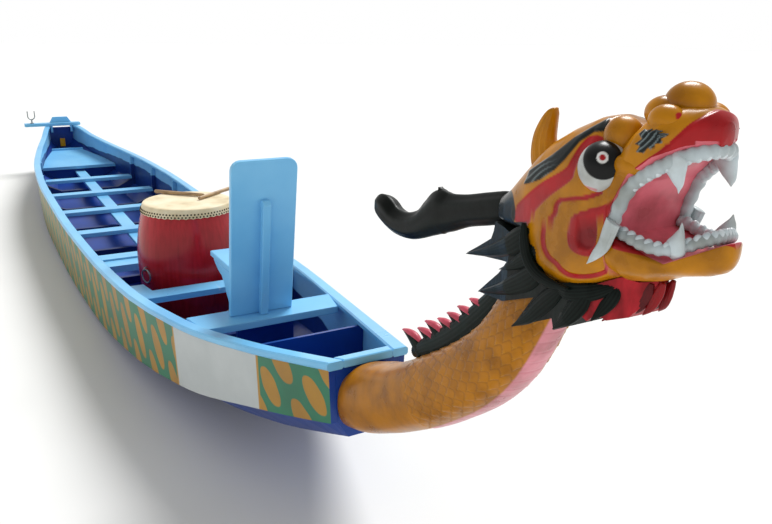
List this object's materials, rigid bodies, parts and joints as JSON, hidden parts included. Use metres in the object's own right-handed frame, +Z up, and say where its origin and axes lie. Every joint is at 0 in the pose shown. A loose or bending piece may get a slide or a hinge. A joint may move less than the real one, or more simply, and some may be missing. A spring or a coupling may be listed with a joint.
{
  "type": "dragon boat",
  "caption": "Narrow open wooden paddling boat with a carved dragon head and neck, thwarts, a steersman's deck, a drummer's seat and a standing drum.",
  "frame": {"origin": "middle of the overall length and breadth, on the floor under the flat bottom", "axes": "+X towards the bow, +Y to port, +Z up"},
  "size_m": [9.209, 1.1, 1.593],
  "materials": {
    "pale_blue_paint": "gloss paint",
    "navy_paint": "gloss paint",
    "side_paint": "gloss paint",
    "mustard_paint": "gloss paint",
    "black_paint": "gloss paint",
    "white_paint": "gloss paint",
    "drum_lacquer": "lacquer",
    "drum_hide": "matt",
    "bare_wood": "bare",
    "steel": "galvanised",
    "yellow_paint": "gloss paint"
  },
  "bodies": {
    "hull": {"hull_bottom": "navy_paint", "side_plank_starboard": "side_paint", "side_plank_port": "side_paint", "bow_transom": "navy_paint", "stern_transom": "navy_paint", "bow_bulkhead": "navy_paint", "gunwale_starboard": "pale_blue_paint", "gunwale_port": "pale_blue_paint", "bow_rail": "pale_blue_paint", "frame_1": "navy_paint", "frame_2": "navy_paint", "frame_3": "navy_paint", "frame_4": "navy_paint", "frame_5": "navy_paint", "frame_6": "navy_paint", "thwart_1": "pale_blue_paint", "thwart_2": "pale_blue_paint", "thwart_3": "pale_blue_paint", "thwart_4": "pale_blue_paint", "thwart_5": "pale_blue_paint", "centre_plank": "pale_blue_paint", "footrest_board": "pale_blue_paint", "seat_board": "pale_blue_paint", "backrest": "pale_blue_paint", "backrest_rib": "pale_blue_paint", "drummer_seat": "pale_blue_paint", "seat_cheek_starboard": "pale_blue_paint", "seat_cheek_port": "pale_blue_paint", "seat_post": "navy_paint", "aft_deck": "pale_blue_paint", "deck_bulkhead": "navy_paint", "stern_beam": "pale_blue_paint", "beam_knee_starboard": "pale_blue_paint", "beam_knee_port": "pale_blue_paint", "stern_board": "pale_blue_paint", "tail_block": "yellow_paint", "drum_body": "drum_lacquer", "drum_hide_top": "drum_hide", "drum_hide_bottom": "drum_hide", "drum_timber_1": "navy_paint", "drum_timber_2": "navy_paint", "drum_staple_starboard": "steel", "drum_staple_port": "steel", "drumstick_starboard": "bare_wood", "drumstick_port": "bare_wood", "dragon_neck": "mustard_paint", "dragon_head": "mustard_paint", "lower_jaw": "mustard_paint", "crest": "mustard_paint", "horn": "black_paint", "mane": "black_paint", "dorsal_fin": "black_paint", "eye_starboard": "white_paint", "eye_port": "white_paint", "upper_teeth": "white_paint", "lower_teeth": "white_paint"},
    "crutch": {"oar_crutch": "steel"},
    "ring_starboard": {"drum_ring_starboard": "steel"},
    "ring_port": {"drum_ring_port": "steel"}
  },
  "joints": [
    {"name": "crutch_swivel", "type": "hinge", "parent": "hull", "child": "crutch", "pos_m": [-4.5195, -0.316, 0.5576], "axis": [0, 0, 1], "continuous": true},
    {"name": "ring_starboard_swing", "type": "hinge", "parent": "hull", "child": "ring_starboard", "pos_m": [1.42331, -0.27236, 0.4373], "axis": [-0.9239, -0.3827, 0], "range_deg": [0, 150]},
    {"name": "ring_port_swing", "type": "hinge", "parent": "hull", "child": "ring_port", "pos_m": [1.19769, 0.27236, 0.4373], "axis": [0.9239, 0.3827, 0], "range_deg": [0, 150]}
  ]
}
